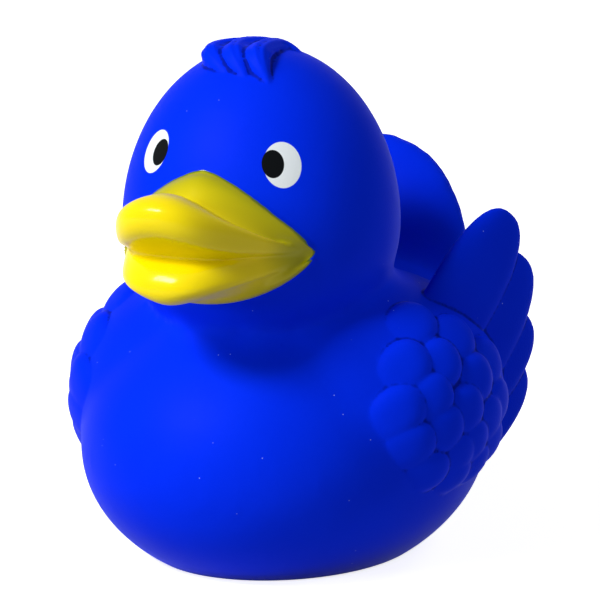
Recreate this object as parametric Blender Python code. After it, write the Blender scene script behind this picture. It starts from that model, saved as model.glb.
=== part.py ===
"""A rubber duck for the bath: a hollow vinyl shell, moulded in one piece, with a press-in squeaker.

The duck faces -Y and stands on z = 0. Its left side is +X, and the two sides are mirror images,
apart from the locks of the crest, which are combed over to its left.
"""

import math

import bmesh
import bpy
from mathutils import Matrix, Vector

MM = 0.001

# Body: an egg, cut off flat where the duck stands.
BODY_HALF_WIDTH = 28.7 * MM
BODY_HALF_LENGTH = 35.5 * MM
BODY_MIDDLE_Z = 16.5 * MM
BODY_UP = 24.0 * MM
BODY_DOWN = 21.9 * MM

# Head: an egg, widest at the cheeks and narrower at the crown.
HEAD_Y = -8.5 * MM
HEAD_MIDDLE_Z = 49.0 * MM
HEAD_HALF_WIDTH = 20.0 * MM
HEAD_HALF_LENGTH = 20.4 * MM
HEAD_UP = 25.8 * MM
HEAD_DOWN = 18.0 * MM

# Wall of the hollow shell, and the round hole in its base for the squeaker.
WALL = 2.0 * MM
HOLE_RADIUS = 6.0 * MM

# Squeaker: a small cup that snaps into the hole, with a collar above the floor.
SQUEAKER_GAP = 0.3 * MM
SQUEAKER_RECESS = 0.6 * MM
SQUEAKER_HEIGHT = 6.5 * MM
SQUEAKER_WALL = 1.0 * MM
COLLAR_OVERHANG = 0.9 * MM
COLLAR_HEIGHT = 1.2 * MM
SOUND_HOLE_RADIUS = 1.2 * MM

# How the forms run into each other, and how fine the finished shell is.
BLEND_GRID = 1.2 * MM
BLEND_REPEATS = 14
DETAIL_GRID = 0.5 * MM
DETAIL_REPEATS = 1
SHELL_TRIANGLES = 9600
CAVITY_TRIANGLES = 1400

# Wing pad: the bulge of the flank that the feathers lie on.
PAD_CENTRE = (10.0, 1.0, 22.5)
PAD_SIZE = (21.8, 25.8, 19.3)

# Forms that run into the body, each as its middle, its half sizes and its lean.
TAIL = [
    ((0.0, 27.0, 35.0), (17.4, 6.5, 23.0), -20.0),
    ((0.0, 17.0, 28.5), (21.0, 17.0, 12.0), 12.0),
]
FLANK = [
    (PAD_CENTRE, PAD_SIZE, 0.0),
    ((13.0, -3.0, 26.5), (13.0, 15.0, 13.5), 0.0),
]

# Covert tips as seen from the side, in millimetres, in columns from the front of the wing to the back.
COVERTS = [
    [(-3.5, 37.3), (-9.8, 33.0), (-13.5, 27.0), (-12.2, 21.3), (-8.5, 16.3)],
    [(2.0, 34.3), (-4.5, 32.2), (-8.6, 28.0), (-7.2, 23.0), (-3.5, 18.2), (-2.5, 14.8)],
    [(7.8, 29.8), (2.2, 28.8), (-2.2, 25.0), (-0.3, 19.7), (2.5, 15.8)],
    [(8.0, 24.2), (4.2, 22.4), (6.4, 18.4)],
]

# Each covert is a pillow that bends with the pad, its tip lifted clear and its root sunk.
COVERT_SIZE = (1.7, 5.6, 4.1)
COVERT_FULLNESS = 2.0
COVERT_OUTLINE = 2.2
COVERT_RISE = 15.0
COVERT_LIFT = 11.0
COVERT_PROUD = 0.8
PAD_RADIUS = 23.0

# Flight feathers: the middle, then half length, half width and rise. All stand out to the rear.
FLIGHT_FEATHERS = [
    ((24.4, 5.6, 36.0), (16.5, 6.4), 52.0),
    ((25.3, 9.1, 29.0), (16.5, 7.0), 54.0),
    ((25.8, 11.7, 25.0), (12.0, 6.4), 44.0),
    ((23.5, 9.0, 17.0), (15.0, 7.0), 36.0),
]
FLIGHT_FLARE = 28.0
FLIGHT_THICKNESS = 1.7
FLIGHT_FULLNESS = 2.0
FLIGHT_OUTLINE = 2.5

# How a line of the bill falls away from the middle of the bill to the corner of the mouth.
TENT = (1.0, 1.0)
POINTED = (1.4, 0.75)
ROUND = (2.0, 0.5)
FULL = (2.2, 0.75)
BELL = (3.2, 1.8)
SOFT_BELL = (2.6, 1.8)
NARROW_BELL = (2.0, 2.4)

# Profile of the bill at the middle, as y and z in millimetres, with how y and z fall away:
# back, flange, valley, upper lip, roof of the mouth, lower lip, chin groove, flange and back.
BILL_PROFILE = [
    (-18.0, 56.0, ROUND, ROUND),
    (-25.8, 60.0, ROUND, POINTED),
    (-30.0, 58.4, ROUND, POINTED),
    (-31.6, 54.0, (1.8, 0.7), TENT),
    (-35.8, 58.0, BELL, NARROW_BELL),
    (-42.0, 58.0, BELL, SOFT_BELL),
    (-44.0, 54.4, BELL, SOFT_BELL),
    (-42.2, 52.0, BELL, NARROW_BELL),
    (-38.8, 50.6, BELL, NARROW_BELL),
    (-36.6, 48.0, BELL, ROUND),
    (-38.6, 48.7, BELL, ROUND),
    (-41.0, 45.2, BELL, ROUND),
    (-36.5, 40.9, BELL, TENT),
    (-31.0, 42.2, ROUND, FULL),
    (-30.4, 40.8, ROUND, FULL),
    (-25.5, 40.2, ROUND, FULL),
    (-18.0, 44.0, ROUND, ROUND),
]
BILL_CORNER = (15.2, -20.5, 48.0)
BILL_STEP = 10

# Locks of the crest: each as x, y, z and radius, from the crown to the tip on the forehead.
CREST = [
    [(-3.2, -6.0, 71.8, 1.8), (-4.2, -12.0, 73.4, 2.0), (-4.2, -16.0, 72.8, 1.9), (-3.0, -18.6, 71.2, 1.2)],
    [(-0.8, -6.0, 72.4, 2.0), (-1.4, -12.0, 74.0, 2.2), (-1.2, -16.8, 73.4, 2.0), (0.4, -19.6, 71.4, 1.2)],
    [(1.8, -6.0, 72.4, 2.0), (1.8, -11.5, 74.2, 2.2), (2.4, -16.2, 73.4, 2.0), (4.0, -19.0, 71.2, 1.2)],
]


def clear_scene():
    """Remove whatever objects the file holds."""
    for item in list(bpy.data.objects):
        bpy.data.objects.remove(item, do_unlink=True)


def add_object(name, bm):
    """Turn a bmesh into an object of the scene."""
    mesh = bpy.data.meshes.new(name)
    bm.to_mesh(mesh)
    bm.free()
    item = bpy.data.objects.new(name, mesh)
    bpy.context.scene.collection.objects.link(item)
    return item


def apply_modifiers(item):
    """Make the modified shape the object's own mesh."""
    shaped = bpy.data.meshes.new_from_object(item.evaluated_get(bpy.context.evaluated_depsgraph_get()))
    item.modifiers.clear()
    item.data = shaped


def blend(item, grid, repeats):
    """Fuse the closed forms of an object into one skin and ease the creases where they meet."""
    fuse = item.modifiers.new("fuse", "REMESH")
    fuse.mode = "VOXEL"
    fuse.voxel_size = grid
    ease = item.modifiers.new("ease", "SMOOTH")
    ease.factor = 0.5
    ease.iterations = repeats
    apply_modifiers(item)


def add_egg(bm, centre, half_width, half_length, up, down):
    """Add an egg whose upper and lower halves have heights of their own."""
    verts = bmesh.ops.create_uvsphere(bm, u_segments=64, v_segments=32, radius=1.0)["verts"]
    upper = [v for v in verts if v.co.z > 0.0]
    lower = [v for v in verts if v.co.z <= 0.0]
    bmesh.ops.scale(bm, vec=(half_width, half_length, up), verts=upper)
    bmesh.ops.scale(bm, vec=(half_width, half_length, down), verts=lower)
    bmesh.ops.translate(bm, vec=centre, verts=verts)


def add_petal(bm, centre, size, turn, fullness=1.0, outline=2.0, bend=0.0):
    """A flattened ellipsoid. Fullness puffs it into a pillow, and bend lays it on a round form."""
    petal = bmesh.new()
    for v in bmesh.ops.create_uvsphere(petal, u_segments=32, v_segments=16, radius=1.0)["verts"]:
        flat = min(1.0, v.co.y ** 2 + v.co.z ** 2)
        square = (abs(v.co.y) ** outline + abs(v.co.z) ** outline) ** (1.0 / outline)
        widen = flat ** 0.5 / square if square > 0.0 else 1.0
        x = math.copysign((1.0 - flat ** fullness) ** 0.5, v.co.x) * size[0]
        v.co = Vector((x, v.co.y * widen * size[1], v.co.z * widen * size[2]))
        v.co.x -= bend * (v.co.y ** 2 + v.co.z ** 2) / 2.0
    bmesh.ops.transform(petal, matrix=Matrix.Scale(MM, 4) @ Matrix.Translation(centre) @ turn, verts=petal.verts[:])
    mesh = bpy.data.meshes.new("petal")
    petal.to_mesh(mesh)
    petal.free()
    bm.from_mesh(mesh)
    bpy.data.meshes.remove(mesh)


def add_roll(bm, points, name):
    """Add a soft roll along a smooth path whose points carry its radius, in millimetres."""
    curve = bpy.data.curves.new(name, "CURVE")
    curve.dimensions = "3D"
    curve.resolution_u = 8
    curve.bevel_depth = MM
    curve.bevel_resolution = 6
    curve.use_fill_caps = True
    path = curve.splines.new("NURBS")
    path.points.add(len(points) - 1)
    path.use_endpoint_u = True
    path.order_u = 3
    for point, (x, y, z, radius) in zip(path.points, points):
        point.co = (x * MM, y * MM, z * MM, 1.0)
        point.radius = radius
    item = bpy.data.objects.new(name, curve)
    bpy.context.scene.collection.objects.link(item)
    mesh = bpy.data.meshes.new_from_object(item.evaluated_get(bpy.context.evaluated_depsgraph_get()))
    bm.from_mesh(mesh)
    bpy.data.objects.remove(item, do_unlink=True)


def lean(degrees):
    """A turn about the side to side axis, so that the far end of a form rises."""
    return Matrix.Rotation(math.radians(degrees), 4, "X")


def mirror_pair(bm, start):
    """Add the mirror image of everything that came after the first vertices."""
    bm.verts.ensure_lookup_table()
    side = bm.verts[start:]
    faces = list({face for v in side for face in v.link_faces})
    twins = bmesh.ops.duplicate(bm, geom=side + faces)["geom"]
    bmesh.ops.scale(bm, vec=(-1, 1, 1), verts=[g for g in twins if isinstance(g, bmesh.types.BMVert)])
    bmesh.ops.reverse_faces(bm, faces=[g for g in twins if isinstance(g, bmesh.types.BMFace)])


def pad_side(y, z):
    """The point of the pad that the side view shows at y and z."""
    across = (y - PAD_CENTRE[1]) / PAD_SIZE[1]
    up = (z - PAD_CENTRE[2]) / PAD_SIZE[2]
    return Vector((PAD_CENTRE[0] + PAD_SIZE[0] * max(0.0, 1.0 - across ** 2 - up ** 2) ** 0.5, y, z))


def pad_normal(point):
    """The outward direction of the wing pad at a point on it."""
    return Vector([(p - c) / s ** 2 for p, c, s in zip(point, PAD_CENTRE, PAD_SIZE)]).normalized()


def onto_pad(point):
    """The point brought onto the wing pad along the line to the pad's middle."""
    offset = Vector(point) - Vector(PAD_CENTRE)
    scale = sum((o / s) ** 2 for o, s in zip(offset, PAD_SIZE)) ** 0.5
    return Vector(PAD_CENTRE) + offset / scale


def along_pad(direction, normal):
    """The part of a direction that lies in the pad's surface."""
    return (direction - normal * direction.dot(normal)).normalized()


def add_covert(bm, y, z):
    """One covert, bent to the pad, its tip lifted clear and its root sunk."""
    tip = pad_side(y, z)
    rise = math.radians(COVERT_RISE)
    along = along_pad(Vector((0.0, math.cos(rise), math.sin(rise))), pad_normal(tip))
    middle = onto_pad(tip - along * COVERT_SIZE[1])
    normal = pad_normal(middle)
    axis = along_pad(tip - middle, normal)
    lift = Matrix.Rotation(math.radians(-COVERT_LIFT), 3, normal.cross(axis))
    out = lift @ normal
    axis = lift @ axis
    turn = Matrix((out, axis, out.cross(axis))).transposed().to_4x4()
    middle += normal * (COVERT_PROUD - COVERT_SIZE[0])
    add_petal(bm, middle, COVERT_SIZE, turn, COVERT_FULLNESS, COVERT_OUTLINE, 1.0 / PAD_RADIUS)


def add_wings(bm):
    """Both wings: rows of overlapping coverts in front of four broad flight feathers."""
    start = len(bm.verts)
    for column in COVERTS:
        for y, z in column:
            add_covert(bm, y, z)
    for middle, (half_length, half_width), rise in FLIGHT_FEATHERS:
        turn = Matrix.Rotation(math.radians(-FLIGHT_FLARE), 4, "Z") @ lean(rise)
        size = (FLIGHT_THICKNESS, half_length, half_width)
        add_petal(bm, middle, size, turn, FLIGHT_FULLNESS, FLIGHT_OUTLINE)
    mirror_pair(bm, start)


def fade(side, shape):
    """How much of a form is left at a share of the way from the middle to the corner of the mouth."""
    return (1.0 - abs(side) ** shape[0]) ** shape[1]


def bill_ring(bm, degrees):
    """The bill's profile at one place on the way from corner to corner, as a loop of edges."""
    side = math.sin(math.radians(degrees))
    ring = []
    for y, z, plan, rise in BILL_PROFILE:
        depth = BILL_CORNER[1] + (y - BILL_CORNER[1]) * fade(side, plan)
        height = BILL_CORNER[2] + (z - BILL_CORNER[2]) * fade(side, rise)
        ring.append(bm.verts.new(Vector((BILL_CORNER[0] * side, depth, height)) * MM))
    return [bm.edges.new((ring[i - 1], ring[i])) for i in range(len(ring))]


def build_bill():
    """The bill, lofted from corner to corner of the mouth and rounded off. Its back lies in the head."""
    bm = bmesh.new()
    rings = [bill_ring(bm, degrees) for degrees in range(BILL_STEP - 90, 90, BILL_STEP)]
    for first, second in zip(rings, rings[1:]):
        bmesh.ops.bridge_loops(bm, edges=first + second)
    bmesh.ops.contextual_create(bm, geom=rings[0])
    bmesh.ops.contextual_create(bm, geom=rings[-1])
    bmesh.ops.recalc_face_normals(bm, faces=bm.faces[:])
    bill = add_object("bill", bm)
    smooth = bill.modifiers.new("round", "SUBSURF")
    smooth.levels = 2
    smooth.render_levels = 2
    apply_modifiers(bill)
    return bill


def add_crest(bm):
    """The crest: locks that are combed forward from the crown."""
    for number, lock in enumerate(CREST):
        add_roll(bm, lock, "lock_%d" % number)


def build_core(name, inset):
    """Body, head, tail and wing pads, run together with soft creases, all drawn in by the inset."""
    bm = bmesh.new()
    body = (BODY_HALF_WIDTH, BODY_HALF_LENGTH, BODY_UP, BODY_DOWN)
    head = (HEAD_HALF_WIDTH, HEAD_HALF_LENGTH, HEAD_UP, HEAD_DOWN)
    add_egg(bm, (0, 0, BODY_MIDDLE_Z), *[size - inset for size in body])
    add_egg(bm, (0, HEAD_Y, HEAD_MIDDLE_Z), *[size - inset for size in head])
    for centre, size, turn in TAIL:
        add_petal(bm, centre, tuple(s - inset / MM for s in size), lean(turn))
    start = len(bm.verts)
    for centre, size, turn in FLANK:
        add_petal(bm, centre, tuple(s - inset / MM for s in size), lean(turn))
    mirror_pair(bm, start)
    core = add_object(name, bm)
    blend(core, BLEND_GRID, BLEND_REPEATS)
    return core


def thin_out(item, triangles):
    """Bring a fused skin down to the triangles that its shape needs."""
    thin = item.modifiers.new("thin", "DECIMATE")
    thin.ratio = triangles / sum(len(p.vertices) - 2 for p in item.data.polygons)
    apply_modifiers(item)


def cut_level(item, height):
    """Cut everything below a height away and close the cut with a true plane."""
    bm = bmesh.new()
    bm.from_mesh(item.data)
    geom = bm.verts[:] + bm.edges[:] + bm.faces[:]
    plane = {"plane_co": (0, 0, height), "plane_no": (0, 0, -1)}
    cut = bmesh.ops.bisect_plane(bm, geom=geom, clear_outer=True, **plane)
    rim = [g for g in cut["geom_cut"] if isinstance(g, bmesh.types.BMEdge)]
    bmesh.ops.contextual_create(bm, geom=rim)
    bm.to_mesh(item.data)
    bm.free()


def subtract(item, cutter):
    """Cut one closed form out of another."""
    cutter.hide_render = True
    cutter.display_type = "WIRE"
    cut = item.modifiers.new("cut", "BOOLEAN")
    cut.operation = "DIFFERENCE"
    cut.solver = "EXACT"
    cut.object = cutter
    apply_modifiers(item)
    bpy.data.objects.remove(cutter, do_unlink=True)


def make_material(name, colour, roughness, coat=0.0):
    """A plain surface with the colour and gloss of the photograph."""
    material = bpy.data.materials.new(name)
    material.use_nodes = True
    shader = material.node_tree.nodes["Principled BSDF"]
    shader.inputs["Base Color"].default_value = colour
    shader.inputs["Roughness"].default_value = roughness
    shader.inputs["Metallic"].default_value = 0.0
    shader.inputs["Coat Weight"].default_value = coat
    return material


def build_cavity():
    """The inside of the shell: the plain forms without relief, drawn in by the wall."""
    cavity = build_core("cavity", WALL)
    thin_out(cavity, CAVITY_TRIANGLES)
    cut_level(cavity, WALL)
    return cavity


def build_hole():
    """The round hole through the middle of the base."""
    bm = bmesh.new()
    bmesh.ops.create_cone(bm, cap_ends=True, segments=48, radius1=HOLE_RADIUS, radius2=HOLE_RADIUS, depth=3.0 * WALL)
    return add_object("hole", bm)


def add_mesh_of(bm, item):
    """Add an object's mesh to a bmesh and remove the object."""
    bm.from_mesh(item.data)
    bpy.data.objects.remove(item, do_unlink=True)


def build_shell():
    """The whole duck: relief laid on the soft core, a flat base, and the hollow inside."""
    bm = bmesh.new()
    add_wings(bm)
    add_crest(bm)
    add_mesh_of(bm, build_bill())
    add_mesh_of(bm, build_core("core", 0.0))
    shell = add_object("duck_shell", bm)
    blend(shell, DETAIL_GRID, DETAIL_REPEATS)
    thin_out(shell, SHELL_TRIANGLES)
    cut_level(shell, 0.0)
    subtract(shell, build_cavity())
    subtract(shell, build_hole())
    shell.data.shade_smooth()
    shell.data.materials.clear()
    shell.data.materials.append(make_material("blue_vinyl", (0.004, 0.03, 0.75, 1.0), 0.5))
    return shell


def build_squeaker():
    """The squeaker, turned as one profile: a cup with a sound hole and a snap collar."""
    outer = HOLE_RADIUS - SQUEAKER_GAP
    collar = HOLE_RADIUS + COLLAR_OVERHANG
    collar_low = WALL + SQUEAKER_GAP
    collar_high = collar_low + COLLAR_HEIGHT
    top = SQUEAKER_RECESS + SQUEAKER_HEIGHT
    floor = SQUEAKER_RECESS + SQUEAKER_WALL
    profile = [
        (SOUND_HOLE_RADIUS, SQUEAKER_RECESS),
        (outer, SQUEAKER_RECESS),
        (outer, collar_low),
        (collar, collar_low),
        (outer, collar_high),
        (outer, top),
        (outer - SQUEAKER_WALL, top),
        (outer - SQUEAKER_WALL, floor),
        (SOUND_HOLE_RADIUS, floor),
    ]
    bm = bmesh.new()
    ring = [bm.verts.new((radius, 0, z)) for radius, z in profile]
    edges = [bm.edges.new((ring[i - 1], ring[i])) for i in range(len(ring))]
    turn = {"axis": (0, 0, 1), "cent": (0, 0, 0), "angle": math.tau, "steps": 32}
    bmesh.ops.spin(bm, geom=ring + edges, use_merge=True, **turn)
    bmesh.ops.recalc_face_normals(bm, faces=bm.faces[:])
    squeaker = add_object("squeaker", bm)
    squeaker.data.materials.append(make_material("squeaker_plastic", (0.8, 0.8, 0.78, 1.0), 0.4))
    return squeaker


def centre(items):
    """Bring the middle of the duck's length over the origin."""
    reach = [v.co.y for item in items for v in item.data.vertices]
    for item in items:
        item.data.transform(Matrix.Translation((0, -(min(reach) + max(reach)) / 2.0, 0)))


clear_scene()
centre([build_shell(), build_squeaker()])
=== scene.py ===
import math

import bmesh
import bpy
from mathutils import Matrix, Vector
from mathutils.bvhtree import BVHTree


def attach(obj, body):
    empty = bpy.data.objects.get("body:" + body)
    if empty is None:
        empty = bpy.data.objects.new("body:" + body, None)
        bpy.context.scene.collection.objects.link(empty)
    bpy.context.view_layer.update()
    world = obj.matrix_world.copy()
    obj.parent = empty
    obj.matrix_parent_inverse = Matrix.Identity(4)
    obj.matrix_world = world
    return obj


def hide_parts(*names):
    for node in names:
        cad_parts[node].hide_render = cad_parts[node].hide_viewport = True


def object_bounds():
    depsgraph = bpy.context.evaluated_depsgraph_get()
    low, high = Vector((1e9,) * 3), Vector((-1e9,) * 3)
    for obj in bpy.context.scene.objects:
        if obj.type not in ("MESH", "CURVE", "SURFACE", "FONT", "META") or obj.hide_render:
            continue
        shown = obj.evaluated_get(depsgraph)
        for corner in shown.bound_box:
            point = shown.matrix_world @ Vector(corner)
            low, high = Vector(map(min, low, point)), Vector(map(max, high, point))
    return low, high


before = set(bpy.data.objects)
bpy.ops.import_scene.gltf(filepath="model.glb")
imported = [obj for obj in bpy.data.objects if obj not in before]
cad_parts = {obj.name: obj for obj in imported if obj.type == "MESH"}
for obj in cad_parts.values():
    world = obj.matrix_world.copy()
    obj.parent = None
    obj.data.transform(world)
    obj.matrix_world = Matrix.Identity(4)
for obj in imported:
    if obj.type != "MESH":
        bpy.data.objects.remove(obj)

cad_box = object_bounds()

# The duck's skin is one hollow moulding of soft blue vinyl. Body, head and tail are egg shapes
# that run into each other with soft creases, and the wing pads bulge from the flanks.
MM = 0.001
SHAPE_GRID = 1.2 * MM
SHAPE_REPEATS = 14
BODY = ((0.0, 0.0, 16.5), (28.7, 35.5, 24.0), 21.9)
HEAD = ((0.0, -8.5, 49.0), (20.0, 20.4, 25.8), 18.0)
PAD_CENTRE = (10.0, 1.0, 22.5)
PAD_SIZE = (21.8, 25.8, 19.3)
TAIL = [
    ((0.0, 27.0, 35.0), (17.4, 6.5, 23.0), -20.0),
    ((0.0, 17.0, 28.5), (21.0, 17.0, 12.0), 12.0),
]
FLANK = [
    (PAD_CENTRE, PAD_SIZE, 0.0),
    ((13.0, -3.0, 26.5), (13.0, 15.0, 13.5), 0.0),
]


def add_object(name, bm):
    """Turn a bmesh into an object of the scene."""
    mesh = bpy.data.meshes.new(name)
    bm.to_mesh(mesh)
    bm.free()
    item = bpy.data.objects.new(name, mesh)
    bpy.context.scene.collection.objects.link(item)
    return item


def apply_modifiers(item):
    """Make the modified shape the object's own mesh."""
    final = item.evaluated_get(bpy.context.evaluated_depsgraph_get())
    shaped = bpy.data.meshes.new_from_object(final)
    item.modifiers.clear()
    item.data = shaped


def fuse(item, grid, repeats):
    """Fuse the closed forms of an object into one skin and ease the creases where they meet."""
    skin = item.modifiers.new("fuse", "REMESH")
    skin.mode = "VOXEL"
    skin.voxel_size = grid
    ease = item.modifiers.new("ease", "SMOOTH")
    ease.factor = 0.5
    ease.iterations = repeats


def round_off(item, levels):
    """Round a coarse skin off into a smooth one."""
    smooth = item.modifiers.new("round", "SUBSURF")
    smooth.levels = levels
    smooth.render_levels = levels
    apply_modifiers(item)


def thin_out(item, triangles):
    """Bring a fused skin down to the triangles that its shape needs."""
    thin = item.modifiers.new("thin", "DECIMATE")
    thin.ratio = triangles / sum(len(p.vertices) - 2 for p in item.data.polygons)
    apply_modifiers(item)


def lean(degrees):
    """A turn about the side to side axis, so that the far end of a form rises."""
    return Matrix.Rotation(math.radians(degrees), 4, "X")


def add_egg(bm, centre, size, down):
    """An egg whose lower half has a height of its own."""
    verts = bmesh.ops.create_uvsphere(bm, u_segments=128, v_segments=64, radius=1.0)["verts"]
    upper = [v for v in verts if v.co.z > 0.0]
    lower = [v for v in verts if v.co.z <= 0.0]
    bmesh.ops.scale(bm, vec=Vector(size) * MM, verts=upper)
    bmesh.ops.scale(bm, vec=Vector((size[0], size[1], down)) * MM, verts=lower)
    bmesh.ops.translate(bm, vec=Vector(centre) * MM, verts=verts)


def add_petal(bm, centre, size, turn, fullness=1.0, outline=2.0, bend=0.0):
    """A flattened ellipsoid. Fullness puffs it into a pillow, and bend lays it on a round form."""
    petal = bmesh.new()
    for v in bmesh.ops.create_uvsphere(petal, u_segments=48, v_segments=24, radius=1.0)["verts"]:
        flat = min(1.0, v.co.y ** 2 + v.co.z ** 2)
        square = (abs(v.co.y) ** outline + abs(v.co.z) ** outline) ** (1.0 / outline)
        widen = flat ** 0.5 / square if square > 0.0 else 1.0
        x = math.copysign((1.0 - flat ** fullness) ** 0.5, v.co.x) * size[0]
        v.co = Vector((x, v.co.y * widen * size[1], v.co.z * widen * size[2]))
        v.co.x -= bend * (v.co.y ** 2 + v.co.z ** 2) / 2.0
    put = Matrix.Scale(MM, 4) @ Matrix.Translation(centre) @ turn
    bmesh.ops.transform(petal, matrix=put, verts=petal.verts[:])
    mesh = bpy.data.meshes.new("petal")
    petal.to_mesh(mesh)
    petal.free()
    bm.from_mesh(mesh)
    bpy.data.meshes.remove(mesh)


def mirror_pair(bm, start):
    """Add the mirror image of everything that came after the first vertices."""
    bm.verts.ensure_lookup_table()
    side = bm.verts[start:]
    faces = list({face for v in side for face in v.link_faces})
    twins = bmesh.ops.duplicate(bm, geom=side + faces)["geom"]
    bmesh.ops.scale(bm, vec=(-1, 1, 1), verts=[g for g in twins if isinstance(g, bmesh.types.BMVert)])
    bmesh.ops.reverse_faces(bm, faces=[g for g in twins if isinstance(g, bmesh.types.BMFace)])


def build_core(name, inset):
    """Body, head, tail and wing pads, run together and drawn in by the inset."""
    bm = bmesh.new()
    for middle, size, down in (BODY, HEAD):
        add_egg(bm, middle, [s - inset for s in size], down - inset)
    for middle, size, turn in TAIL:
        add_petal(bm, middle, [s - inset for s in size], lean(turn))
    start = len(bm.verts)
    for middle, size, turn in FLANK:
        add_petal(bm, middle, [s - inset for s in size], lean(turn))
    mirror_pair(bm, start)
    core = add_object(name, bm)
    fuse(core, SHAPE_GRID, SHAPE_REPEATS)
    apply_modifiers(core)
    return core


core = build_core("core", 0.0)
round_off(core, 1)
core_tree = BVHTree.FromObject(core, bpy.context.evaluated_depsgraph_get())

# Each wing is moulded in relief on its pad: four rows of coverts that overlap like scales, their
# tips clear of the feathers behind, and four broad flight feathers that stand out to the rear.
COVERTS = [
    [(-3.5, 37.3), (-9.8, 33.0), (-13.5, 27.0), (-12.2, 21.3), (-8.5, 16.3)],
    [(2.0, 34.3), (-4.5, 32.2), (-8.6, 28.0), (-7.2, 23.0), (-3.5, 18.2), (-2.5, 14.8)],
    [(7.8, 29.8), (2.2, 28.8), (-2.2, 25.0), (-0.3, 19.7), (2.5, 15.8)],
    [(8.0, 24.2), (4.2, 22.4), (6.4, 18.4)],
]
COVERT_SIZE = (1.7, 5.6, 4.1)
COVERT_FULLNESS = 2.0
COVERT_OUTLINE = 2.2
COVERT_RISE = 15.0
COVERT_LIFT = 12.0
COVERT_PROUD = 0.66
CLEAR_OF_PAD = 8.0
PAD_BEND = 1.0 / 23.0
FLIGHT_FEATHERS = [
    ((24.4, 5.6, 36.0), (16.5, 6.4), 52.0),
    ((25.3, 9.1, 29.0), (16.5, 7.0), 54.0),
    ((25.8, 11.7, 25.0), (12.0, 6.4), 44.0),
    ((23.5, 9.0, 17.0), (15.0, 7.0), 36.0),
]
FLIGHT_FLARE = 28.0
FLIGHT_THICKNESS = 1.7
FLIGHT_FULLNESS = 2.0
FLIGHT_OUTLINE = 2.5


def pad_normal(point):
    """The outward direction of the wing pad at a point on it."""
    return Vector([(p - c) / s ** 2 for p, c, s in zip(point, PAD_CENTRE, PAD_SIZE)]).normalized()


def onto_pad(point):
    """The point brought onto the wing pad along the line to the pad's middle."""
    offset = Vector(point) - Vector(PAD_CENTRE)
    scale = sum((o / s) ** 2 for o, s in zip(offset, PAD_SIZE)) ** 0.5
    return Vector(PAD_CENTRE) + offset / scale


def pad_side(y, z):
    """The point of the pad that the side view shows at y and z."""
    across = (y - PAD_CENTRE[1]) / PAD_SIZE[1]
    up = (z - PAD_CENTRE[2]) / PAD_SIZE[2]
    return Vector((PAD_CENTRE[0] + PAD_SIZE[0] * max(0.0, 1.0 - across ** 2 - up ** 2) ** 0.5, y, z))


def along_pad(direction, normal):
    """The part of a direction that lies in the pad's surface."""
    return (direction - normal * direction.dot(normal)).normalized()


def add_covert(bm, y, z):
    """One covert, bent to the pad and clear of the skin, its tip lifted and its root sunk."""
    tip = pad_side(y, z)
    rise = math.radians(COVERT_RISE)
    along = along_pad(Vector((0.0, math.cos(rise), math.sin(rise))), pad_normal(tip))
    middle = onto_pad(tip - along * COVERT_SIZE[1])
    normal = pad_normal(middle)
    axis = along_pad(tip - middle, normal)
    lift = Matrix.Rotation(math.radians(-COVERT_LIFT), 3, normal.cross(axis))
    out = lift @ normal
    axis = lift @ axis
    turn = Matrix((out, axis, out.cross(axis))).transposed().to_4x4()
    skin_point = core_tree.ray_cast((middle + normal * CLEAR_OF_PAD) * MM, -normal)[0] / MM
    buried = max(0.0, (skin_point - middle).dot(normal))
    middle += normal * (buried + COVERT_PROUD - COVERT_SIZE[0])
    add_petal(bm, middle, COVERT_SIZE, turn, COVERT_FULLNESS, COVERT_OUTLINE, PAD_BEND)


relief = bmesh.new()
for column in COVERTS:
    for y, z in column:
        add_covert(relief, y, z)
for middle, (half_length, half_width), rise in FLIGHT_FEATHERS:
    turn = Matrix.Rotation(math.radians(-FLIGHT_FLARE), 4, "Z") @ lean(rise)
    size = (FLIGHT_THICKNESS, half_length, half_width)
    add_petal(relief, middle, size, turn, FLIGHT_FULLNESS, FLIGHT_OUTLINE)
mirror_pair(relief, 0)

# The bill is moulded with the head: a fat upper and lower lip around an open mouth, on a flange
# that runs up the face to a point. It is lofted from one profile, carried round to both corners.
BILL_CORNER = (15.2, -20.5, 48.0)
TENT = (1.0, 1.0)
POINTED = (1.4, 0.75)
ROUND = (2.0, 0.5)
FULL = (2.2, 0.75)
BELL = (3.2, 1.8)
SOFT_BELL = (2.6, 1.8)
NARROW_BELL = (2.0, 2.4)
VALLEY = (1.8, 0.7)
BILL_SWEEP = range(-80, 81, 10)
BILL_PROFILE = [
    (-18.0, 56.0, ROUND, ROUND),
    (-25.8, 60.0, ROUND, POINTED),
    (-30.0, 58.4, ROUND, POINTED),
    (-31.6, 54.0, VALLEY, TENT),
    (-35.8, 58.0, BELL, NARROW_BELL),
    (-42.5, 58.0, BELL, SOFT_BELL),
    (-43.7, 54.4, BELL, SOFT_BELL),
    (-42.2, 52.0, BELL, NARROW_BELL),
    (-38.8, 50.6, BELL, NARROW_BELL),
    (-36.6, 48.0, BELL, ROUND),
    (-38.6, 48.7, BELL, ROUND),
    (-41.8, 44.0, BELL, ROUND),
    (-38.4, 41.2, BELL, TENT),
    (-31.0, 42.2, ROUND, FULL),
    (-30.4, 40.8, ROUND, FULL),
    (-25.5, 40.2, ROUND, FULL),
    (-18.0, 44.0, ROUND, ROUND),
]


def fade(side, shape):
    """How much of a form is left at a share of the way from the middle to the corner of the mouth."""
    return (1.0 - abs(side) ** shape[0]) ** shape[1]


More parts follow.
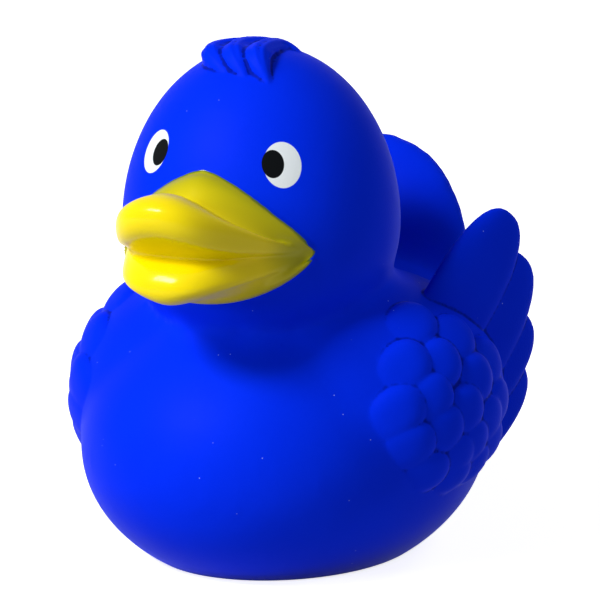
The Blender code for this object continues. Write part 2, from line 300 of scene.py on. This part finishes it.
def bill_ring(bm, degrees):
    """The bill's profile at one place on the way from corner to corner, as a loop of edges."""
    side = math.sin(math.radians(degrees))
    ring = []
    for y, z, plan, rise in BILL_PROFILE:
        depth = BILL_CORNER[1] + (y - BILL_CORNER[1]) * fade(side, plan)
        height = BILL_CORNER[2] + (z - BILL_CORNER[2]) * fade(side, rise)
        ring.append(bm.verts.new(Vector((BILL_CORNER[0] * side, depth, height)) * MM))
    return [bm.edges.new((ring[i - 1], ring[i])) for i in range(len(ring))]


def build_bill():
    """The bill as one closed form, whose back lies inside the head."""
    bm = bmesh.new()
    rings = [bill_ring(bm, degrees) for degrees in BILL_SWEEP]
    for first, second in zip(rings, rings[1:]):
        bmesh.ops.bridge_loops(bm, edges=first + second)
    bmesh.ops.contextual_create(bm, geom=rings[0])
    bmesh.ops.contextual_create(bm, geom=rings[-1])
    bmesh.ops.recalc_face_normals(bm, faces=bm.faces[:])
    bill = add_object("bill", bm)
    round_off(bill, 3)
    return bill


bill = build_bill()
relief.from_mesh(bill.data)
bpy.data.objects.remove(bill, do_unlink=True)

# The crest is moulded with the head too: three thick locks, combed forward over the crown and
# down to a point on the brow. Fine ridges of hair run along each of them.
CREST = [
    [
        (3.5, -4.8, 72.8, 0.8),
        (0.6, -6.2, 73.6, 1.3),
        (-2.6, -8.2, 73.75, 1.7),
        (-5.2, -12.0, 73.5, 1.8),
        (-4.2, -15.8, 72.9, 1.8),
        (-0.8, -17.6, 71.4, 0.4),
    ],
    [
        (4.8, -5.2, 72.4, 0.8),
        (2.2, -5.9, 73.5, 1.4),
        (-0.8, -7.6, 73.8, 1.8),
        (-1.9, -12.4, 73.8, 1.9),
        (-0.4, -16.4, 73.0, 1.9),
        (2.3, -18.0, 70.9, 0.4),
    ],
    [
        (6.5, -6.5, 71.6, 0.6),
        (4.2, -6.2, 72.9, 1.3),
        (1.9, -7.0, 73.65, 1.8),
        (1.9, -12.6, 73.8, 1.9),
        (2.8, -16.3, 72.9, 1.9),
        (5.5, -17.6, 70.5, 0.4),
    ],
]
HAIR_ANGLES = (-60.0, -25.0, 10.0, 45.0)
HAIR_PLACE = 0.86
HAIR_SHARE = 0.32


def head_normal(point):
    """The outward direction of the head at a point on it."""
    return Vector([(p - c) / s ** 2 for p, c, s in zip(point, HEAD[0], HEAD[1])]).normalized()


def hair_line(points, degrees):
    """The path of one ridge of hair along a lock, at a turn about the lock's middle line."""
    line = []
    for i, (x, y, z, radius) in enumerate(points):
        middle = Vector((x, y, z))
        along = Vector(points[min(i + 1, len(points) - 1)][:3]) - Vector(points[max(i - 1, 0)][:3])
        out = head_normal(middle)
        across = along.cross(out).normalized()
        turned = out * math.cos(math.radians(degrees)) + across * math.sin(math.radians(degrees))
        line.append((*(middle + turned * radius * HAIR_PLACE), radius * HAIR_SHARE))
    return line


def add_lock(bm, points, name):
    """A soft roll along a smooth path whose points carry its radius."""
    curve = bpy.data.curves.new(name, "CURVE")
    curve.dimensions = "3D"
    curve.resolution_u = 12
    curve.bevel_depth = MM
    curve.bevel_resolution = 8
    curve.use_fill_caps = True
    path = curve.splines.new("NURBS")
    path.points.add(len(points) - 1)
    path.use_endpoint_u = True
    path.order_u = 3
    for point, (x, y, z, radius) in zip(path.points, points):
        point.co = (x * MM, y * MM, z * MM, 1.0)
        point.radius = radius
    item = bpy.data.objects.new(name, curve)
    bpy.context.scene.collection.objects.link(item)
    final = item.evaluated_get(bpy.context.evaluated_depsgraph_get())
    bm.from_mesh(bpy.data.meshes.new_from_object(final))
    bpy.data.objects.remove(item, do_unlink=True)


for lock in CREST:
    add_lock(relief, lock, "lock")
    for degrees in HAIR_ANGLES:
        add_lock(relief, hair_line(lock, degrees), "hair")

# The forms come out of the mould as one skin with crisp creases and a flat base, 2 mm thick,
# with a round hole in the base for the squeaker.
SKIN_GRID = 0.28 * MM
SKIN_TRIANGLES = 188000
CAVITY_TRIANGLES = 3000
WALL = 2.0
HOLE_RADIUS = 6.0
HOLE_SIDES = 64
relief.from_mesh(core.data)
bpy.data.objects.remove(core, do_unlink=True)
skin = add_object("duck_skin", relief)
fuse(skin, SKIN_GRID, 1)
apply_modifiers(skin)
thin_out(skin, SKIN_TRIANGLES)


def cut_level(item, height):
    """Cut everything below a height away and close the cut with a true plane."""
    bm = bmesh.new()
    bm.from_mesh(item.data)
    geom = bm.verts[:] + bm.edges[:] + bm.faces[:]
    level = {"plane_co": (0, 0, height), "plane_no": (0, 0, -1)}
    cut = bmesh.ops.bisect_plane(bm, geom=geom, clear_outer=True, **level)["geom_cut"]
    bmesh.ops.contextual_create(bm, geom=[g for g in cut if isinstance(g, bmesh.types.BMEdge)])
    bm.to_mesh(item.data)
    bm.free()


def subtract(item, cutter):
    """Cut one closed form out of another."""
    cut = item.modifiers.new("cut", "BOOLEAN")
    cut.operation = "DIFFERENCE"
    cut.solver = "EXACT"
    cut.object = cutter
    apply_modifiers(item)
    bpy.data.objects.remove(cutter, do_unlink=True)


cut_level(skin, 0.0)
cavity = build_core("cavity", WALL)
thin_out(cavity, CAVITY_TRIANGLES)
cut_level(cavity, WALL * MM)
subtract(skin, cavity)
bm = bmesh.new()
hole_sides = {"radius1": HOLE_RADIUS * MM, "radius2": HOLE_RADIUS * MM, "segments": HOLE_SIDES}
bmesh.ops.create_cone(bm, cap_ends=True, depth=3 * WALL * MM, **hole_sides)
subtract(skin, add_object("hole", bm))

# The paint of the bill stops at a line drawn round the flange. Each point of the skin carries how
# far inside that line it is and how far it stands off the face, in millimetres. Whatever stands
# well off the face is inside the line. In the wings and the crest it also carries how hollow it is,
# which paints shade into their creases.
PAINT_CORNER = 14.7
PAINT_TOP = 11.3
PAINT_BOTTOM = 7.0
PAINT_RELIEF = 0.5
NO_PAINT = -5.0
FACE_FRONT = -18.0
FACE_LOW = 38.0
FACE_HIGH = 63.0
CREASE_SPREADS = 2
WING_SIDE = 19.0
CREST_LOW = 66.0


def inside_paint(point):
    """How far a point of the head lies inside the edge of the bill's paint."""
    side = abs(point.x) / (PAINT_CORNER * MM)
    rise = point.z / MM - BILL_CORNER[2]
    if side >= 1.0:
        return (1.0 - side) * PAINT_CORNER
    above = PAINT_TOP * fade(side, POINTED) - rise
    below = PAINT_BOTTOM * fade(side, FULL) + rise
    return min(above if rise > 0.0 else below, (1.0 - side) * PAINT_CORNER)


paint = skin.data.attributes.new("bill_paint", "FLOAT", "POINT")
stand_off = skin.data.attributes.new("bill_height", "FLOAT", "POINT")
for v, value, height in zip(skin.data.vertices, paint.data, stand_off.data):
    value.value = NO_PAINT
    if v.co.y < FACE_FRONT * MM and FACE_LOW * MM < v.co.z < FACE_HIGH * MM:
        height.value = core_tree.find_nearest(v.co)[3] / MM
        value.value = max(inside_paint(v.co), height.value - PAINT_RELIEF)
# Painted shade in the creases: how hollow each point is, spread over its neighbours, kept on the
# wings and the crest only.
crease_shade = skin.data.attributes.new("crease_shade", "FLOAT", "POINT")
bm = bmesh.new()
bm.from_mesh(skin.data)
bm.normal_update()
rises = []
for v in bm.verts:
    steps = [(edge.other_vert(v).co - v.co).normalized() for edge in v.link_edges]
    rises.append(max(0.0, sum(step.dot(v.normal) for step in steps) / len(steps)))
for _ in range(CREASE_SPREADS):
    near = [[rises[edge.other_vert(v).index] for edge in v.link_edges] for v in bm.verts]
    rises = [(rise + sum(others) / len(others)) / 2.0 for rise, others in zip(rises, near)]
for v, rise, value in zip(bm.verts, rises, crease_shade.data):
    feathered = abs(v.co.x) > WING_SIDE * MM or v.co.z > CREST_LOW * MM
    value.value = rise if feathered else 0.0
bm.free()
shift = cad_box[1][1] - max(v.co.y for v in skin.data.vertices)
skin.data.transform(Matrix.Translation((0, shift, 0)))
skin.data.shade_smooth()
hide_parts("duck_shell")
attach(skin, "root")

# The vinyl is matt royal blue with a fine grain and a little dust. The bill is sprayed glossy
# yellow after moulding, and the eyes are printed on with a pad, white first and then black.
EYE_WHITE = (2.95, 3.6)
PUPIL = (1.72, 2.2)
PRINT_DEPTH = 6.0
EYES = [
    ((11.7, -25.2, 61.0), (-1.35, 0.15)),
    ((-10.3, -26.0, 61.9), (1.2, 0.0)),
]
vinyl = bpy.data.materials.new("blue_vinyl")
vinyl.use_nodes = True
nodes = vinyl.node_tree.nodes
links = vinyl.node_tree.links
shader = nodes["Principled BSDF"]
shader.inputs["Specular IOR Level"].default_value = 0.02
shader.inputs["Coat Roughness"].default_value = 0.12
place = nodes.new("ShaderNodeTexCoord").outputs["Object"]


def value_of(socket, given):
    """Give a socket a number, or link it to where its value comes from."""
    if isinstance(given, bpy.types.NodeSocket):
        socket.id_data.links.new(given, socket)
    else:
        socket.default_value = given


def maths(operation, first, second=0.0, third=0.0):
    """One sum on one or more values."""
    node = nodes.new("ShaderNodeMath")
    node.operation = operation
    for socket, given in zip(node.inputs, (first, second, third)):
        value_of(socket, given)
    return node.outputs[0]


def step_between(value, low, high, bottom=0.0, top=1.0):
    """A soft step from bottom to top while a value goes from low to high."""
    node = nodes.new("ShaderNodeMapRange")
    node.interpolation_type = "SMOOTHSTEP"
    names = ("Value", "From Min", "From Max", "To Min", "To Max")
    for name, given in zip(names, (value, low, high, bottom, top)):
        value_of(node.inputs[name], given)
    return node.outputs["Result"]


def blend_colour(amount, under, over):
    """One colour laid over another."""
    node = nodes.new("ShaderNodeMix")
    node.data_type = "RGBA"
    value_of(node.inputs[0], amount)
    value_of(node.inputs[6], under)
    value_of(node.inputs[7], over)
    return node.outputs[2]


def noise(where, scale, detail=2.0):
    """Noise whose scale is in bumps per metre."""
    node = nodes.new("ShaderNodeTexNoise")
    node.inputs["Scale"].default_value = scale
    node.inputs["Detail"].default_value = detail
    links.new(where, node.inputs["Vector"])
    return node.outputs["Fac"]


def printed_oval(middle, half_sizes, offset):
    """How far a place is from the middle of an oval printed on the head, as a share of its edge."""
    out = head_normal(middle)
    across = Vector((0, 0, 1)).cross(out).normalized()
    upward = out.cross(across)
    aside = (across * offset[0] + upward * offset[1]) * MM
    centre = Vector(middle) * MM + Vector((0, shift, 0)) + aside
    node = nodes.new("ShaderNodeMapping")
    node.vector_type = "TEXTURE"
    node.inputs["Location"].default_value = centre
    node.inputs["Rotation"].default_value = Matrix((across, upward, out)).transposed().to_euler()
    node.inputs["Scale"].default_value = Vector((*half_sizes, PRINT_DEPTH)) * MM
    links.new(place, node.inputs["Vector"])
    length = nodes.new("ShaderNodeVectorMath")
    length.operation = "LENGTH"
    links.new(node.outputs["Vector"], length.inputs[0])
    return length.outputs["Value"]


inside = nodes.new("ShaderNodeAttribute")
inside.attribute_name = "bill_paint"
wander = maths("MULTIPLY", maths("SUBTRACT", noise(place, 900.0), 0.5), 0.15)
edge = maths("ADD", inside.outputs["Fac"], wander)
bill_paint = step_between(edge, -0.05, 0.05)
bill_full = step_between(edge, 0.0, 0.35)

cloud = noise(place, 60.0, 3.0)
blue = blend_colour(cloud, (0.0003, 0.020, 0.74, 1.0), (0.0006, 0.028, 0.86, 1.0))
dust_spots = nodes.new("ShaderNodeTexVoronoi")
dust_spots.inputs["Scale"].default_value = 620.0
links.new(place, dust_spots.inputs["Vector"])
dust_choice = nodes.new("ShaderNodeSeparateColor")
links.new(dust_spots.outputs["Color"], dust_choice.inputs[0])
dust_dot = step_between(dust_spots.outputs["Distance"], 0.03, 0.07, 1.0, 0.0)
dust = maths("MULTIPLY", dust_dot, step_between(dust_choice.outputs[0], 0.82, 0.9))
blue = blend_colour(maths("MULTIPLY", dust, 0.55), blue, (0.45, 0.55, 0.95, 1.0))
# Painted shade: the blue turns deep navy where the wings and the crest are hollow, standing in for
# the shade in their creases.
depth = nodes.new("ShaderNodeAttribute")
depth.attribute_name = "crease_shade"
crease_shade_mask = step_between(depth.outputs["Fac"], 0.02, 0.09, 0.0, 0.75)
blue = blend_colour(crease_shade_mask, blue, (0.0001, 0.004, 0.14, 1.0))
height = nodes.new("ShaderNodeAttribute")
height.attribute_name = "bill_height"
# Painted shade: the yellow turns darker and olive where the bill lies close to the face, as the shade
# in the valley between lip and flange and at the flange's foot.
valley_shade_fade = step_between(height.outputs["Fac"], 0.3, 4.8)
yellow = blend_colour(valley_shade_fade, (0.38, 0.36, 0.0005, 1.0), (0.82, 0.65, 0.0005, 1.0))
yellow = blend_colour(bill_full, (0.06, 0.12, 0.01, 1.0), yellow)
colour = blend_colour(bill_paint, blue, yellow)
for middle, pupil_offset in EYES:
    white = step_between(printed_oval(middle, EYE_WHITE, (0.0, 0.0)), 0.985, 1.015, 1.0, 0.0)
    pupil = step_between(printed_oval(middle, PUPIL, pupil_offset), 0.98, 1.02, 1.0, 0.0)
    colour = blend_colour(white, colour, (0.74, 0.80, 0.84, 1.0))
    colour = blend_colour(pupil, colour, (0.004, 0.005, 0.006, 1.0))
links.new(colour, shader.inputs["Base Color"])
grain = noise(place, 3200.0)
links.new(step_between(bill_paint, 0.0, 1.0, 0.52, 0.3), shader.inputs["Roughness"])
links.new(maths("MULTIPLY", bill_paint, 0.22), shader.inputs["Coat Weight"])
bump = nodes.new("ShaderNodeBump")
bump.inputs["Distance"].default_value = 0.05 * MM
value_of(bump.inputs["Strength"], step_between(bill_paint, 0.0, 1.0, 0.35, 0.04))
links.new(grain, bump.inputs["Height"])
links.new(bump.outputs["Normal"], shader.inputs["Normal"])
skin.data.materials.clear()
skin.data.materials.append(vinyl)

# The squeaker is a small cup of hard milky plastic, pressed into the hole of the base. It is seen
# only from below, as the moulded CAD piece that it is.
milky = bpy.data.materials.new("milky_plastic")
milky.use_nodes = True
nodes = milky.node_tree.nodes
links = milky.node_tree.links
shader = nodes["Principled BSDF"]
shader.inputs["Roughness"].default_value = 0.35
place = nodes.new("ShaderNodeTexCoord").outputs["Object"]
cloud = noise(place, 700.0, 3.0)
milk = blend_colour(cloud, (0.56, 0.57, 0.55, 1.0), (0.70, 0.70, 0.67, 1.0))
links.new(milk, shader.inputs["Base Color"])
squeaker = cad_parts["squeaker"]
squeaker.data.materials.clear()
squeaker.data.materials.append(milky)

# The floor is plain white paper that runs into a white background. What the camera sees of it is
# brightened to white, apart from the duck's shadow.
FLOOR_RADIUS = 6.0
bm = bmesh.new()
bmesh.ops.create_circle(bm, cap_ends=True, segments=64, radius=FLOOR_RADIUS)
floor = add_object("floor", bm)
paper = bpy.data.materials.new("paper")
paper.use_nodes = True
nodes = paper.node_tree.nodes
links = paper.node_tree.links
shader = nodes["Principled BSDF"]
shader.inputs["Roughness"].default_value = 0.8
shader.inputs["Specular IOR Level"].default_value = 0.0
shader.inputs["Emission Color"].default_value = (1, 1, 1, 1)


def background_ray():
    """1 where the camera sees a thing, straight or by metal and glass, and 0 for other light."""
    path = nodes.new("ShaderNodeLightPath")
    mirrored = maths("MAXIMUM", path.outputs["Is Glossy Ray"], path.outputs["Is Transmission Ray"])
    return maths("MAXIMUM", path.outputs["Is Camera Ray"], mirrored)


seen = background_ray()
grey = blend_colour(seen, (0.55, 0.55, 0.55, 1.0), (0.9, 0.9, 0.9, 1.0))
links.new(grey, shader.inputs["Base Color"])
place = nodes.new("ShaderNodeTexCoord").outputs["Object"]
away = nodes.new("ShaderNodeVectorMath")
away.operation = "LENGTH"
links.new(place, away.inputs[0])
white_out = step_between(away.outputs["Value"], 0.1, 0.6, 0.8, 1.0)
links.new(maths("MULTIPLY", seen, white_out), shader.inputs["Emission Strength"])
floor.data.materials.append(paper)


# The lamps are soft boxes round the duck: a key lamp in front on its right, a low one under that,
# and weak ones on its left and behind. Only the key lamp shows as a highlight on the glossy paint.
LAMP_AIM = 38.0 * MM
LAMP_DISTANCE = 0.8


def direction(azimuth, elevation):
    """The way from the duck to a lamp or camera, with azimuth 0 in front and 90 on its left."""
    a, e = math.radians(azimuth), math.radians(elevation)
    return Vector((math.sin(a) * math.cos(e), -math.cos(a) * math.cos(e), math.sin(e)))


def add_lamp(name, azimuth, elevation, size, power, mirrored=False):
    """A soft lamp that looks at the duck's middle, mirrored in gloss or not."""
    lamp = bpy.data.lights.new(name, "AREA")
    lamp.shape = "RECTANGLE"
    lamp.size = size[0]
    lamp.size_y = size[1]
    lamp.energy = power
    item = bpy.data.objects.new(name, lamp)
    bpy.context.scene.collection.objects.link(item)
    toward = direction(azimuth, elevation)
    item.location = Vector((0, 0, LAMP_AIM)) + toward * LAMP_DISTANCE
    item.rotation_euler = toward.to_track_quat("Z", "Y").to_euler()
    item.visible_glossy = mirrored


add_lamp("key", -28.0, 40.0, (0.26, 0.16), 5.9, mirrored=True)
add_lamp("low_front", -30.0, 12.0, (0.2, 0.2), 2.2)
add_lamp("fill", 90.0, 35.0, (0.3, 0.3), 1.1)
add_lamp("rim", 150.0, 40.0, (0.3, 0.3), 0.9)

# The room gives a little even light. What the camera sees of it, straight or by gloss, is white.
ROOM_LIGHT = 0.03
world = bpy.data.worlds.new("studio")
bpy.context.scene.world = world
world.use_nodes = True
nodes = world.node_tree.nodes
links = world.node_tree.links
soft = nodes["Background"]
soft.inputs["Color"].default_value = (1, 1, 1, 1)
links.new(step_between(background_ray(), 0.0, 1.0, ROOM_LIGHT, 1.0), soft.inputs["Strength"])

# The camera stands where the photograph was taken from, to the left of the duck's front and a
# little above it. Its picture is as wide as the photograph's, measured at the duck.
VIEW_AZIMUTH = 25.0
VIEW_ELEVATION = 11.0
VIEW_DISTANCE = 0.52
VIEW_WIDTH = 600.0 / 6750.0
AIM_RIGHT = 0.001926
AIM_UP = 0.035556
AIM_BACK = 0.0032
toward = direction(VIEW_AZIMUTH, VIEW_ELEVATION)
right = Vector((math.cos(math.radians(VIEW_AZIMUTH)), math.sin(math.radians(VIEW_AZIMUTH)), 0.0))
up = toward.cross(right)
target = right * AIM_RIGHT + up * AIM_UP + Vector((0, AIM_BACK, 0))
lens = bpy.data.cameras.new("camera")
lens.sensor_width = 36.0
lens.lens = lens.sensor_width * VIEW_DISTANCE / VIEW_WIDTH
lens.clip_start = 0.01
camera = bpy.data.objects.new("camera", lens)
bpy.context.scene.collection.objects.link(camera)
turn = Matrix((right, up, toward)).transposed().to_4x4()
camera.matrix_world = Matrix.Translation(target + toward * VIEW_DISTANCE) @ turn
bpy.context.scene.camera = camera
bpy.context.scene.view_settings.view_transform = "Standard"
